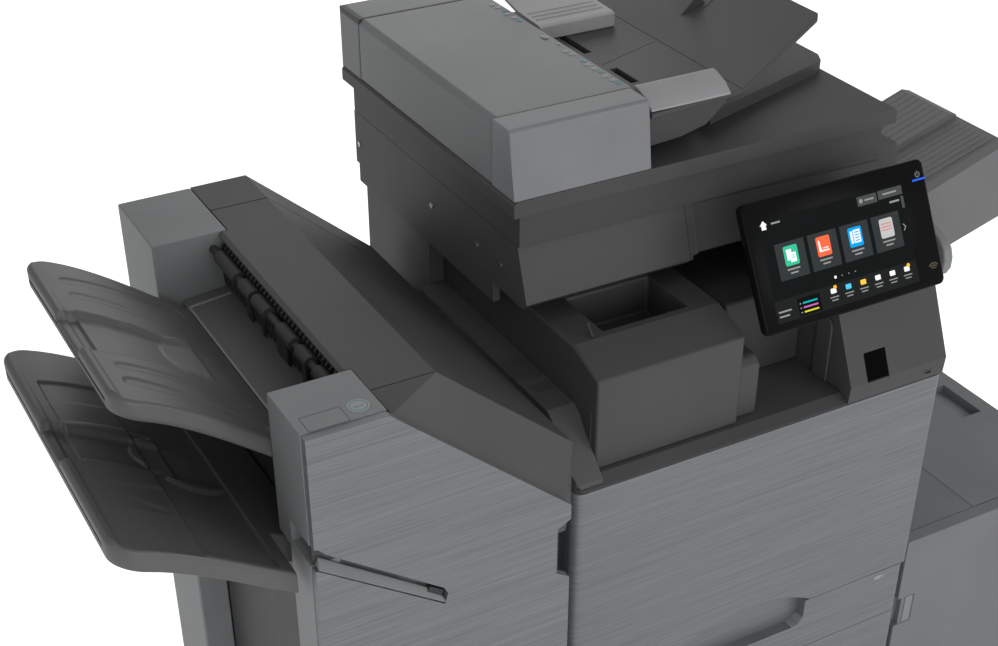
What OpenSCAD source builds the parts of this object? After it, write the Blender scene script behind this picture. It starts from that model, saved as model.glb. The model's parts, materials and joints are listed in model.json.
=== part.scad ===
// Floor-standing colour photocopier: main engine with four paper drawers, flat-bed scanner with
// document feeder, tilting touch panel, sorting finisher on the left and large-capacity paper
// cabinet on the right. +X is to the machine's right, +Y to its back, +Z up, floor at z = 0.

/* [Main engine] */
// Width of the front cover and drawer fronts
main_w = 596; // [590:1:602]
// Depth of the engine from front cover to rear cover
main_d = 650; // [640:1:660]
// Height of the dark deck seam above the floor
seam_h = 775; // [770:1:790]
// Height of the front cover
cover_h = 337; // [330:1:345]
// Thickness of the front cover
cover_t = 26; // [22:1:28]
// Height given to each paper drawer
drawer_pitch = 93; // [90:1:94]
// Gap between neighbouring outer panels
seam_gap = 1; // [0.6:0.1:1.5]

/* [Scanner and feeder] */
// Height of the scanner top above the deck seam
scan_top = 270.5; // [268:0.5:274]
// Height of the scanner underside above the deck seam
scan_bottom = 190; // [186:1:194]
// Top of the document feeder above the deck seam
feeder_top = 431; // [425:1:436]
// Slope of the document tray in millimetres of rise
tray_rise = 52; // [40:1:60]

/* [Touch panel] */
// Width of the touch panel
panel_w = 295.6; // [280:0.1:300]
// Height of the touch panel along its face
panel_h = 169.6; // [160:0.1:175]
// Lean of the panel back from upright in degrees
panel_lean = 28.8; // [20:0.1:35]

/* [Finisher] */
// Left face of the finisher, measured from the engine's left edge
fin_left = 374.7; // [370:0.1:380]
// Height of the finisher's flat top above the deck seam
fin_top = 250.5; // [246:0.5:255]
// Drop of the sloping side in millimetres per millimetre of width
fin_slope = 0.86; // [0.8:0.01:0.9]
// Radius of the exit roller sleeves
sleeve_r = 9; // [8:0.5:11]

/* [Paper cabinet] */
// Left and right faces of the cabinet
cab_x0 = 598; // [598:1:610]
// Width of the cabinet
cab_w = 374; // [360:1:390]
// Top of the cabinet below the deck seam
cab_top = 304.5; // [300:0.5:310]

/* [Feet and wheels] */
// Radius of a caster wheel
wheel_r = 22; // [20:0.5:23]
// Width of a caster wheel
wheel_w = 20; // [16:1:24]
// Radius of a levelling foot
foot_r = 18; // [14:1:22]

/* [Hidden] */
$fn = 48;

brushed = "#737779";
plastic_dark = "#414143";
plastic_shade = "#333336";
plastic_grey = "#6d7071";
tray_brown = "#555351";
steel = "#9a9d9f";
black = "#1b1b1c";

// heights below the deck seam
cover_bottom = -cover_h;
drawers_bottom = cover_bottom - 4 * drawer_pitch;
floor_z = -seam_h;
base_top = drawers_bottom - 3;
base_bottom = floor_z + 36;

// body planes
body_x0 = 2;
body_x1 = main_w - 2;
skin = 11;
frame_t = 12;
inner_x0 = body_x0 + skin + 1;
inner_x1 = body_x1 - skin - 1;
rear_y = main_d - 22;

// touch panel directions in the y-z plane
panel_bottom = [-1.2, 152.2];
panel_x0 = 279;
panel_t = 15;
panel_up = [sin(panel_lean), cos(panel_lean)];
panel_in = [cos(panel_lean), -sin(panel_lean)];
panel_axis = panel_bottom + panel_up * panel_h / 2 + panel_in * 34;

// document feeder hinge and tray
lid_axis = [main_d + 6, scan_top + 1.5];
tray_x0 = 195;
tray_bend = 340;
tray_x1 = 500;
tray_z = 410;

// finisher outline
fin_right = -12;
fin_ridge = -194;
fin_cap_x1 = -273.9;
fin_y0 = -49;
fin_y1 = 564.5;
door_y = -61;
column_inner = -330;
shaft_x = -295;
shaft_z = 228;
shaft_r = 5;

// moulded corner arch over the top drawer's grip
arch_r = 226;
arch_x = main_w / 2;
arch_rise = 32;

// whole machine outline, used to centre it over the origin
all_x0 = -586;
all_x1 = cab_x0 + cab_w;
all_y0 = door_y;
all_y1 = main_d + 12;

module place() translate([-(all_x0 + all_x1) / 2, -(all_y0 + all_y1) / 2, seam_h]) children();

// box given by its lowest and highest corners
module span(a, b) translate(a) cube(b - a);

// outline in (y, z) carried along x, and outline in (x, z) carried along y
module along_x(x0, x1) translate([x0, 0, 0]) rotate([90, 0, 90]) linear_extrude(x1 - x0) children();
module along_y(y0, y1) translate([0, y1, 0]) rotate([90, 0, 0]) linear_extrude(y1 - y0) children();

module rod_x(x0, x1, y, z, r) translate([x0, y, z]) rotate([0, 90, 0]) cylinder(h = x1 - x0, r = r);
module rod_y(y0, y1, x, z, r) translate([x, y1, z]) rotate([90, 0, 0]) cylinder(h = y1 - y0, r = r);

// flat outline with its two front corners (low y) rounded
module front_rounded(w, d, r) intersection() {
    square([w, d]);
    union() {
        translate([0, r]) square([w, d]);
        translate([r, 0]) square([w - 2 * r, d]);
        for (x = [r, w - r]) translate([x, r]) circle(r);
    }
}

// ---------- engine ----------
module base_plate() color(plastic_shade) place() difference() {
    span([inner_x0 - 0.5, 34, base_bottom], [inner_x1 + 0.5, rear_y - 1, base_top]);
    for (x = caster_x, y = caster_y)
        span([x - well_x, y - well_y, base_bottom - 1], [x + well_x, y + well_y, base_bottom + well_z]);
}

module engine_frame() color(steel) place() difference() {
    union() {
        span([inner_x0, 40, base_top + 0.5], [inner_x0 + frame_t, rear_y - 14, -12]);
        span([inner_x1 - frame_t, 40, base_top + 0.5], [inner_x1, rear_y - 14, -12]);
        span([inner_x0 + 0.5, rear_y - 13.5, base_top + 0.5], [inner_x1 - 0.5, rear_y - 2, -12]);
        span([inner_x0 + frame_t, 40, cover_bottom + 8],
            [inner_x1 - frame_t, rear_y - 14, cover_bottom + 16]);
        for (i = [1:4], side = [0, 1]) drawer_rail(i, side);
        for (y = [72, 568]) span([500, y, -104], [inner_x1 - frame_t, y + 6, -24]);
    }
    for (x = fuser_x) rod_y(60, 590, x, fuser_z, 6.05);
}

module drawer_rail(i, side) {
    z = cover_bottom - i * drawer_pitch + 2;
    x = side == 0 ? inner_x0 + frame_t : inner_x1 - frame_t - 10;
    span([x, 60, z], [x + 10, rear_y - 14, z + 7]);
}

module left_cover() color(plastic_grey) place() difference() {
    span([body_x0, 29, base_bottom], [body_x0 + skin, main_d - 23, -1]);
    span([body_x0 - 1, 470, -240], [body_x0 + grip_cut, 580, -212]);
}

module right_cover() color(plastic_grey) place() difference() {
    span([body_x1 - skin, 29, base_bottom], [body_x1, main_d - 23, -1]);
    span([body_x1 - grip_cut, 470, -240], [body_x1 + 1, 580, -212]);
}

// depth of the lifting grips in the side covers
grip_cut = 8;
vent_count = 14;
vent_pitch = 11;
module rear_cover() color(plastic_grey) place() difference() {
    span([body_x0, rear_y, base_bottom], [body_x1, main_d - 0.5, -1]);
    span([body_x0 + 5, rear_y - 1, base_bottom + 5], [body_x1 - 5, main_d - 6, -6]);
    for (i = [0:vent_count - 1], x = [80, 400])
        span([x, main_d - 7, -90 - i * vent_pitch], [x + 110, main_d, -85 - i * vent_pitch]);
    span([500, main_d - 12, -650], [530, main_d, -628]);
}

deck_top = 10;
rim_x1 = 42.5;
rim_top = 84;
module bay_deck() color(plastic_dark) place() {
    intersection() {
        along_x(body_x0 + 1, main_w + 4) polygon([[1, 0.3], [1, 1.5], [19, deck_top],
            [main_d - 6, deck_top], [main_d - 6, 0.3]]);
        deck_plan();
    }
    intersection() {
        along_x(body_x0 + 1, rim_x1) polygon([[4, deck_top - 5], [4, 12], [66, rim_top - 8],
            [78, rim_top], [438, rim_top], [438, deck_top - 1], [12, deck_top - 5]]);
        deck_plan();
    }
    span([21, 440, deck_top], [main_w - 13, main_d - 6, scan_bottom - 0.5]);
}

module deck_plan() translate([body_x0 + 1, 1, -5]) linear_extrude(200) front_rounded(main_w + 1, main_d, 16);

relay_x0 = 43;
relay_x1 = 264.6;
relay_step = 302;
relay_top = 164;
module relay_unit_cover() color(plastic_dark) place() difference() {
    union() {
        along_x(relay_x0, relay_x1) polygon([[24, deck_top + 0.5], [24, relay_top - 21],
            [86, relay_top], [438, relay_top], [438, deck_top + 0.5]]);
        along_x(relay_x1, relay_step) polygon([[34, deck_top + 0.5], [34, 86], [46, 98],
            [438, 98], [438, deck_top + 0.5]]);
        span([relay_step, 118, deck_top + 0.5], [435.5, 438, 132]);
    }
    span([96, 99.5, 110], [223, 190, relay_top + 1]);
    
}

module right_pillar() color(plastic_dark) place() difference() {
    union() {
        along_x(432, main_w + 4) polygon([[0, 1], [-2, 28], [70, 182], [117, 182],
            [117, deck_top + 0.5], [20, deck_top + 2.6], [0.6, 2.6], [0.6, 1]]);
        span([436, 118, deck_top + 0.5], [main_w + 2, 438, scan_bottom - 0.5]);
    }
    pillar_pocket(461, 498.5, 27, 65, 1.5);
    pillar_pocket(566, 576, 9, 13, 6);
}

// slot sunk square to y into the leaning front face
module pillar_pocket(x0, x1, z0, z1, depth) along_x(x0, x1)
    polygon([[-9, z0], [pillar_y(z0) + depth, z0], [pillar_y(z1) + depth, z1], [-9, z1]]);
function pillar_y(z) = -2 + max(0, z - 28) * 72 / 154;

arm_x0 = 455;
arm_x1 = 509;
module panel_arm() color(plastic_shade) place() {
    along_x(arm_x0, arm_x1) union() {
        polygon([[72, 182], [114, 182], [114, 198], panel_axis + [8, 8], panel_axis + [-6, -8]]);
        translate(panel_axis) circle(13);
    }
    rod_x(arm_x0 - 12, arm_x1 + 12, panel_axis[0], panel_axis[1], 5);
}

// ---------- scanner ----------
scan_x1 = 626;
glass = [60, 215, 540, 600];
module scanner_housing() color(plastic_dark) place() difference() {
    union() {
        intersection() {
            along_x(10.4, scan_x1) polygon([[160, 199.5], [182, scan_top], [main_d + 2, scan_top],
                [main_d + 2, scan_bottom], [172, scan_bottom]]);
            translate([10.4, 158, 0]) linear_extrude(400) front_rounded(scan_x1 - 10.4, 600, 34);
        }
        along_x(10.4, 262) polygon([[145, 199.5], [169, scan_top], [200, scan_top],
            [200, scan_bottom], [156, scan_bottom]]);
        along_x(262, 275) polygon([[152, 202], [174, scan_top], [200, scan_top], [200, scan_bottom + 3],
            [162, scan_bottom + 3]]);
        span([10.4, 232, 162], [20, main_d - 7, scan_bottom + 0.1]);
        for (x = lid_hinge_x) lid_hinge_ears(x);
    }
    span([26, 205, 202], [570, 628, scan_top - 8]);
    span([glass[0] + 6, glass[1] + 6, scan_top - 9], [glass[2] - 6, glass[3] - 6, scan_top + 1]);
    span([glass[0], glass[1], scan_top - 5], [glass[2], glass[3], scan_top + 1]);
    for (x = lid_hinge_x) rod_x(x - 2, x + 62, lid_axis[0], lid_axis[1], 3.05);
    for (x = lid_hinge_x) span([x + 8, main_d - 10, scan_top - 10], [x + 52, main_d + 20, scan_top + 12]);
}

lid_hinge_x = [90, 440];
module lid_hinge_ears(x) for (dx = [0, 53]) {
    span([x + dx, main_d - 4, scan_top - 12], [x + dx + 7, main_d + 12, lid_axis[1]]);
    rod_x(x + dx, x + dx + 7, lid_axis[0], lid_axis[1], 6);
}

module platen_glass() color("#a9c4c2") place()
    span([glass[0] + 0.5, glass[1] + 0.5, scan_top - 5], [glass[2] - 0.5, glass[3] - 0.5, scan_top - 1]);

module scan_carriage() color(black) place() {
    span([40, 230, 208], [92, 605, 240]);
    span([58, 250, 240], [64, 585, 252]);
    span([74, 250, 240], [80, 585, 252]);
}

module feeder_base() color(plastic_dark) place() union() {
    along_y(149, main_d) polygon([[-6, 321.4], [-6, 338], [-1, 343.5], [580, 343.5], [585, 338],
        [585, 321.4]]);
    span([9, 162, scan_top + 1.8], [574, main_d - 3, 321.5]);
    span([5, 205, 343.4], [182, 640, 384]);
    span([5, 205, 343.4], [10, 640, 400]);
    span([176, 205, 384], [182, 640, 396]);
    for (y = [208, 574]) difference() {
        span([136, y, 383], [160, y + 5, 414]);
        rod_y(y - 1, y + 6, 148, 402, 4.05);
    }
    span([-6, 582.5, 343.4], [190, 645.6, feeder_top]);
    along_y(262, 500) polygon([[190, 343.4], [190, 380], [330, 380], [332, 343.4]]);
    along_y(180, 484) polygon([[190, 357], [190, 402.5], [322, 402.5], [320, 394], [292, 370], [253, 361]]);
    translate([0, 0, 343.4]) linear_extrude(16.6) polygon([[332, 226], [556, 295], [574, 303], [584, 322],
        [584, 600], [332, 600]]);
    for (x = lid_hinge_x) lid_hinge_barrel(x);
}

module lid_hinge_barrel(x) {
    rod_x(x + 8, x + 52, lid_axis[0], lid_axis[1], 5);
    rod_x(x - 1, x + 61, lid_axis[0], lid_axis[1], 3);
    span([x + 9, main_d - 4, scan_top + 4], [x + 51, main_d + 4, 323]);
}

module platen_pad() color("#e8e8e6") place()
    span([glass[0] + 4, glass[1] + 4, scan_top - 0.6], [glass[2] - 4, glass[3] - 4, scan_top + 1.8]);

module feeder_front_cap() color(brushed) place() difference() {
    along_x(-6.5, 189) polygon([[147.6, 344.2], [160, feeder_top - 3], [164, feeder_top],
        [204, feeder_top], [204, 344.2]]);
    span([0, 169, 340], [183, 210, feeder_top - 8]);
}

module feeder_cover() color(brushed) place() along_y(204.8, 581.8) polygon([
        [-6.5, 346], [-6.5, feeder_top - 7], [0.5, feeder_top], [192, feeder_top],
        [192, feeder_top - 14], [189, feeder_top - 16], [189, 400], [183.5, 400],
        [183.5, feeder_top - 18], [178, feeder_top - 7], [8, feeder_top - 7], [0, feeder_top - 14],
        [0, 346]]);

module pickup_roller() color(black) place() {
    rod_y(207, 580, 148, 402, 4);
    for (y = [300, 380, 460]) rod_y(y, y + 34, 148, 402, 11);
}

tray_mid = 324;
module document_tray() color(plastic_dark) place() difference() {
    intersection() {
        along_y(120, 570) polygon([[tray_x0, tray_z - 7], [tray_bend + 2, tray_z - 7],
            [tray_x1, tray_z - 7 + tray_rise], [tray_x1 + 4, tray_z + tray_rise - 3],
            [tray_x1, tray_z + tray_rise],
            [tray_bend, tray_z], [tray_x0, tray_z]]);
        translate([0, 0, 300]) linear_extrude(300) tray_plan();
    }
    for (y = [[259, 311], [374, 451]]) span([227, y[0], tray_z - 8], [238, y[1], tray_z + 1]);
}

// half widths of the tapering tray, from the feeder outwards
tray_half = [[tray_x0, 162], [tray_bend, 150], [tray_x1 - 6, 98], [tray_x1 + 5, 84]];
tray_rear = [236, 224, 98, 84];
module tray_plan() polygon(concat([for (p = tray_half) [p[0], tray_mid - p[1]]],
    [for (i = [3:-1:0]) [tray_half[i][0], tray_mid + tray_rear[i]]]));

guide_gap = 116;
module guide_front() color(steel) place() along_x(tray_x0 + 2, 316)
    polygon([for (p = [[0, tray_z + 0.5], [0, 431], [7, 431], [28, 424], [42, 413],
        [42, tray_z + 0.5]]) [tray_mid - guide_gap - p[0], p[1]]]);
module guide_rear() color(steel) place() along_x(tray_x0 + 2, 316)
    polygon([for (p = [[0, tray_z + 0.5], [0, 429], [7, 431], [60, 433], [104, 441], [104, 437], [60, 428],
        [10, 425], [10, tray_z + 0.5]]) [tray_mid + guide_gap + p[0], p[1]]]);

// ---------- touch panel ----------
module on_panel(u, v, w) translate([u, panel_bottom[0] + panel_up[0] * v + panel_in[0] * w,
    panel_bottom[1] + panel_up[1] * v + panel_in[1] * w]) rotate([-panel_lean, 0, 0]) children();

key_u = 282;
key_v = 150;
module panel_housing() color(black) place() difference() {
    union() {
        on_panel(panel_x0, 0, 2) span([0, 0, 0], [panel_w, panel_t - 2, panel_h]);
        for (x = [arm_x0 - 10, arm_x1 + 1]) panel_lug(x);
    }
    rod_x(arm_x0 - 14, arm_x1 + 14, panel_axis[0], panel_axis[1], 5.05);
    on_panel(panel_x0 + key_u, key_v, 0) rotate([-90, 0, 0]) translate([0, 0, -2]) cylinder(h = 8, r = 5.4);
}

module panel_lug(x) along_x(x, x + 9) union() {
    polygon([panel_axis + [-3, 9], panel_axis + [-3, -9], panel_axis - panel_in * 22 - panel_up * 12,
        panel_axis - panel_in * 22 + panel_up * 12]);
    translate(panel_axis) circle(9.5);
}

module panel_screen() color("#111112") place() difference() {
    on_panel(panel_x0, 0, 0) span([1.5, 0, 1.5], [panel_w - 1.5, 1.9, panel_h - 1.5]);
    on_panel(panel_x0 + key_u, key_v, 0) rotate([-90, 0, 0]) translate([0, 0, -2]) cylinder(h = 8, r = 5.4);
}

module power_button() color("#2a4ea0") place()
    on_panel(panel_x0 + key_u, key_v, -0.5) rotate([-90, 0, 0]) cylinder(h = 4, r = 5);

// ---------- right tray ----------
module right_exit_tray() color("#5d5d5f") place() difference() {
    along_y(150, 378) polygon([[main_w + 8, 66], [main_w + 8, 179], [640, 189], [806, 243], [822, 238],
        [818, 124], [640, 74]]);
    translate([0, 168, 0]) along_y(0, 104) polygon([[618, 200], [618, 178], [646, 183], [830, 238],
        [830, 260]]);
}

// ---------- imaging parts ----------
fuser_x = [514, 544];
fuser_z = -64;
module imaging_unit() color("#2d3b4a") place() {
    along_y(60, 560) difference() {
        union() {
            translate([70, -190]) square([400, 40]);
            translate([70, -170]) circle(20);
            translate([470, -170]) circle(20);
        }
        translate([70, -184]) square([400, 28]);
    }
    for (i = [0:3]) rod_y(70, 550, 100 + i * 110, -211, 18);
}

module fuser_roller(x, shade) color(shade) place() {
    rod_y(80, 566, x, fuser_z, 14.8);
    rod_y(66, 580, x, fuser_z, 6);
}
module fuser_heat_roller() fuser_roller(fuser_x[0], "#8c4a3c");
module fuser_press_roller() fuser_roller(fuser_x[1], "#3a3a3c");

cartridge_x = [for (i = [0:3]) 56 + i * 108];
module toner_cartridge(i, shade) color(shade) place() {
    x = cartridge_x[i - 1];
    span([x, 56, -128], [x + 84, 440, -52]);
    rod_y(50, 57, x + 42, -90, 30);
}
module toner_cartridge_1() toner_cartridge(1, "#26262a");
module toner_cartridge_2() toner_cartridge(2, "#2f8fb5");
module toner_cartridge_3() toner_cartridge(3, "#b0397c");
module toner_cartridge_4() toner_cartridge(4, "#c9b52f");

// ---------- front cover and drawers ----------
module arch_cut(clear) along_y(-5, cover_t + 5) intersection() {
    translate([arch_x, cover_bottom + arch_rise - arch_r]) circle(arch_r + clear, $fn = 96);
    translate([arch_x - 150, cover_bottom - 1]) square([300, 60]);
}

// the cover widens a little towards the deck on its right
flare = 7;
flare_z = -240;
module front_cover() color(brushed) place() difference() {
    intersection() {
        translate([0, 0, cover_bottom]) linear_extrude(-cover_bottom - 0.6)
            front_rounded(main_w + flare, cover_t, 14);
        along_y(-1, cover_t + 1) polygon([[0, cover_bottom], [main_w, cover_bottom], [main_w, flare_z],
            [main_w + flare, 0], [0, 0]]);
    }
    arch_cut(0);
    span([14, 8, cover_bottom + 44], [main_w - 14, cover_t + 1, -10]);
}

grip_w = 216;
grip_depth = 17;
module drawer_front(i) {
    top = cover_bottom - (i - 1) * drawer_pitch - seam_gap;
    low = cover_bottom - i * drawer_pitch;
    difference() {
        union() {
            translate([0, 0, low]) linear_extrude(top - low) front_rounded(main_w, 24, 14);
            if (i == 1) intersection() {
                arch_cut(-2);
                span([0, grip_depth, cover_bottom - 2], [main_w, 24, 0]);
            }
        }
        grip_pocket(top);
    }
}

// finger pocket, open at the top, with round lower corners
module grip_pocket(top) along_y(-1, grip_depth) union() {
    translate([arch_x - grip_w / 2, top - 24]) square([grip_w, 25]);
    translate([arch_x - grip_w / 2 + 20, top - 44]) square([grip_w - 40, 25]);
    for (s = [-1, 1]) translate([arch_x + s * (grip_w / 2 - 20), top - 24]) circle(20);
}

module drawer_1_front() color(brushed) place() drawer_front(1);
module drawer_2_front() color(brushed) place() drawer_front(2);
module drawer_3_front() color(brushed) place() drawer_front(3);
module drawer_4_front() color(brushed) place() drawer_front(4);

tray_in = 6;
module drawer_tray(i) {
    low = cover_bottom - i * drawer_pitch + 10;
    high = low + drawer_pitch - 22;
    x0 = inner_x0 + frame_t + 2;
    x1 = inner_x1 - frame_t - 2;
    difference() {
        span([x0, 24, low], [x1, 560, high]);
        span([x0 + tray_in, 34, low + 5], [x1 - tray_in, 554, high + 1]);
    }
}

module drawer_1_tray() color(steel) place() drawer_tray(1);
module drawer_2_tray() color(steel) place() drawer_tray(2);
module drawer_3_tray() color(steel) place() drawer_tray(3);
module drawer_4_tray() color(steel) place() drawer_tray(4);

// ---------- small parts ----------
screw_spots = [[638, 222.5], [405, 225.1], [277.6, 223.5], [212.3, 225]];
module housing_screws() color(steel) place() for (p = screw_spots)
    rod_x(8.8, 10.4, p[0], p[1], 4);

// recesses in the base plate that the casters sit in
well_x = wheel_w / 2 + 8;
well_y = 30;
well_z = 14;
caster_x = [60, main_w - 60];
caster_y = [90, main_d - 70];
axle_r = 4;
module caster_mounts() color(plastic_shade) place() for (x = caster_x, y = caster_y) {
    for (s = [-1, 1]) translate([x + s * (wheel_w / 2 + 4), y, 0]) caster_ear();
    span([x - well_x + 2, y - 22, base_bottom + well_z - 4], [x + well_x - 2, y + 22, base_bottom + well_z]);
    rod_x(x - wheel_w / 2 - 6, x + wheel_w / 2 + 6, y, floor_z + wheel_r, axle_r);
}

module caster_ear() along_x(-2, 2) polygon([[-18, base_bottom + well_z - 3.9], [-9, floor_z + wheel_r - 8],
    [9, floor_z + wheel_r - 8], [18, base_bottom + well_z - 3.9]]);

module caster_wheel(i) color("#2c2c2e") place() {
    x = caster_x[(i - 1) % 2];
    y = caster_y[floor((i - 1) / 2)];
    difference() {
        rod_x(x - wheel_w / 2, x + wheel_w / 2, y, floor_z + wheel_r, wheel_r);
        rod_x(x - wheel_w, x + wheel_w, y, floor_z + wheel_r, axle_r + 0.05);
    }
}
module caster_wheel_1() caster_wheel(1);
module caster_wheel_2() caster_wheel(2);
module caster_wheel_3() caster_wheel(3);
module caster_wheel_4() caster_wheel(4);

module foot(x, y, top) {
    translate([x, y, floor_z]) cylinder(h = 12, r = foot_r);
    translate([x, y, floor_z + 12]) cylinder(h = top - floor_z - 12, r = 7);
}
module levelling_feet() color(black) place() {
    for (x = [140, main_w - 140], y = [80, main_d - 60]) foot(x, y, base_bottom);
    for (x = [-340, -90], y = [0, 520]) foot(x, y, fin_base);
    for (x = [cab_x0 + 40, all_x1 - 40], y = [42, 512]) foot(x, y, base_bottom);
}

// ---------- finisher ----------
fin_base = floor_z + 40;
function fin_z(x) = fin_top - fin_slope * max(0, x - fin_ridge);
fin_low = fin_z(fin_right);
door_slope = 0.88;
function door_z(x) = 240 - door_slope * (x + 265);

module finisher_frame() color(plastic_shade) place() difference() {
    union() {
        span([-fin_left + 4, fin_y0 + 4, fin_base], [-46, fin_y1 - 4, fin_base + 30]);
        span([column_inner, 10.5, fin_base + 30], [column_inner + 6, 424.8, 63.5]);
        span([column_inner, 43, 63.4], [column_inner + 6, 424.8, 140]);
        span([-52, fin_y0 + 12, fin_base + 30], [-46, fin_y1 - 12, -4]);
        span([column_inner, fin_y1 - 14, fin_base + 30], [-52, fin_y1 - 8, -4]);
        span([column_inner + 6, 12, -40], [-52, fin_y1 - 14, -34]);
    }
    span([column_inner - 1, 120, -30], [column_inner + 7, 320, 10]);
}

module finisher_front_column() color(plastic_grey) place() difference() {
    union() {
        span([-fin_left, fin_y0, 64], [fin_cap_x1, 42.2, fin_top]);
        span([-fin_left, fin_y0, fin_base + 30.5], [column_inner - 0.5, 10, 64]);
    }
    rod_y(30, 43, shaft_x, shaft_z, shaft_r + 0.05);
    translate([-297.6, -28.7, fin_top - 9]) cylinder(h = 10, r = 13.3);
    span([-fin_left - 1, fin_y0 - 1, 73], [-338, 4, 102]);
    along_y(fin_y0 - 1, -20) intersection() {
        staple_slot();
        translate([-339, -60]) square([60, 200]);
    }
}

module finisher_rear_column() color(plastic_grey) place() difference() {
    union() {
        span([-fin_left, 425.6, 110], [fin_cap_x1, fin_y1, fin_top]);
        span([-fin_left, 425.6, fin_base + 30.5], [column_inner - 0.5, fin_y1, 110]);
    }
    rod_y(425, 438, shaft_x, shaft_z, shaft_r + 0.05);
}

module fin_outline() polygon([[fin_cap_x1 + 0.6, -2], [fin_cap_x1 + 0.6, fin_top], [fin_ridge, fin_top],
    [fin_right, fin_low], [fin_right, -2]]);
module door_outline() polygon([[-268, -2], [-268, door_z(-268) - 1], [-44, door_z(-44) - 1], [-44, -2]]);

module finisher_shoulder() color(plastic_dark) place() {
    hull() {
        along_y(-9, -8) fin_outline();
        along_y(fin_y0, fin_y0 + 1) door_outline();
    }
    along_y(487, fin_y1) fin_outline();
}

module finisher_top_cover() color(plastic_dark) place() {
    along_y(44, 424) polygon([[-286, 243.6], [-286, 246], [-281, fin_top], [fin_cap_x1 + 1, fin_top],
        [fin_cap_x1 + 1, 243.6]]);
    along_y(-6, 485) polygon([
        [fin_cap_x1 + 0.6, fin_top - 5], [fin_cap_x1 + 0.6, fin_top], [fin_ridge, fin_top],
        [fin_right, fin_low],
        [fin_right - 3, fin_low - 4.5], [fin_ridge - 1.6, fin_top - 5]]);
}

door_x0 = -fin_left + 1;
door_x1 = -43.5;
module door_shape() polygon([[door_x0, floor_z + 58], [door_x0, 249], [-275, 249], [-268, door_z(-268)],
    [door_x1, door_z(door_x1)], [door_x1, 24], [-62, 14], [-62, -54], [door_x1, -66],
    [door_x1, floor_z + 58]]);
module finisher_door() color(brushed) place() difference() {
    along_y(door_y, fin_y0 - 0.6) door_shape();
    along_y(door_y - 1, fin_y0) staple_slot();
}

// slot that takes the corner of a set for manual stapling, open at the machine's left
module staple_slot() polygon([[-fin_left - 1, 104], [-369, 102], [-360, 92], [-216, -14], [-211, -24],
    [-215, -39], [-369, 71], [-fin_left - 1, 73]]);

module exit_guide_plate() color(plastic_shade) place() {
    along_y(43, 424.8) polygon([[-344, 161], [-344, 165], [-279, 172], [-279, 243], [-276, 243],
        [-276, 161]]);
}

sleeves = [[60, 88], [108, 139], [155, 196], [234, 274], [282, 317], [334, 400]];
module exit_roller() color("#3b3d3d") place() {
    rod_y(33, 435, shaft_x, shaft_z, shaft_r);
    for (s = sleeves) rod_y(s[0], s[1], shaft_x, shaft_z, sleeve_r);
}

module staple_button() color("#8a8d8f") place()
    translate([-297.6, -28.7, fin_top - 4.6]) cylinder(h = 5, r = 13);

// tray shell: curved top, rolled rim, hollow underneath; p is the top line from outer end to root
module tray_shell(p, y0, y1, rim, skin_t) difference() {
    along_y(y0, y1) polygon(concat(p, [for (i = [len(p) - 1:-1:0]) p[i] - [0, rim]]));
    along_y(y0 + skin_t, y1 - skin_t) polygon(concat([for (i = [0:len(p) - 1]) inner_point(p, i, skin_t)],
        [for (i = [len(p) - 1:-1:0]) inner_point(p, i, rim + 1)]));
}
function inner_point(p, i, drop) = [p[i][0] + (i == 0 ? 4 : i == len(p) - 1 ? -4 : 0), p[i][1] - drop];

upper_line = [[-541, 290], [-515, 281], [-460, 251], [-418, 222], [-386, 196], [-346, 167]];
lower_line = [[-586, 166], [-552, 156], [-480, 119], [-388, 61]];
lower_root = [[-388, 61], [-333, 30]];
module offset_tray_upper() color(tray_brown) place() tray_shell(upper_line, 46, 400, 25, 4);
module offset_tray_lower() color(tray_brown) place() {
    tray_shell(lower_line, -40, 420, 28, 4);
    along_y(46, 400) polygon([[-388, 33], [-388, 61], [-333, 30], [-333, -6], [-384, 14]]);
}

// ---------- paper cabinet ----------
cab_y0 = 1.5;
cab_y1 = 560;
cab_seam = cab_x0 + 147;
cab_wall = 10;
module cabinet_body() color(plastic_grey) place() difference() {
    span([cab_x0, cab_y0, base_bottom], [all_x1, cab_y1, -cab_top]);
    span([cab_seam, cab_y0 + 21.5, -cab_top - 8.6], [all_x1 + 1, cab_y1 - 12, -cab_top + 1]);
    span([cab_x0 - 1, cab_y0 + 21.5, -cab_top - 2], [cab_seam + 1, cab_y0 + 22.5, -cab_top + 1]);
    span([cab_seam + 6, cab_y0 + 34, base_bottom + 40], [all_x1 - cab_wall, cab_y1 - 34, -cab_top]);
    span([cab_x0 - 1, cab_y0 - 1, -471], [cab_x0 + 9, cab_y0 + 12, -417]);
    span([cab_x0 + 8, cab_y0 - 1, -471], [cab_x0 + 33, cab_y0 + 2, -417]);
    rod_y(cab_y0 + 8, cab_y1, cab_seam + 4.4, -cab_top - 4, 2.05);
}

module cabinet_lid() color(plastic_grey) place() difference() {
    union() {
        span([cab_seam + 4.4, cab_y0 + 22.5, -cab_top - 6.5], [all_x1, cab_y1 - 13, -cab_top]);
        span([894, 214, -cab_top - 20], [949, 317, -cab_top - 6]);
        rod_y(cab_y0 + 22.5, cab_y1 - 13, cab_seam + 4.4, -cab_top - 4, 4);
        rod_y(cab_y0 + 10, cab_y1 - 2, cab_seam + 4.4, -cab_top - 4, 2);
    }
    along_y(219, 312) polygon([[898.7, -cab_top + 1], [898.7, -cab_top - 1], [944, -cab_top - 16],
        [944, -cab_top + 1]]);
}

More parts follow.
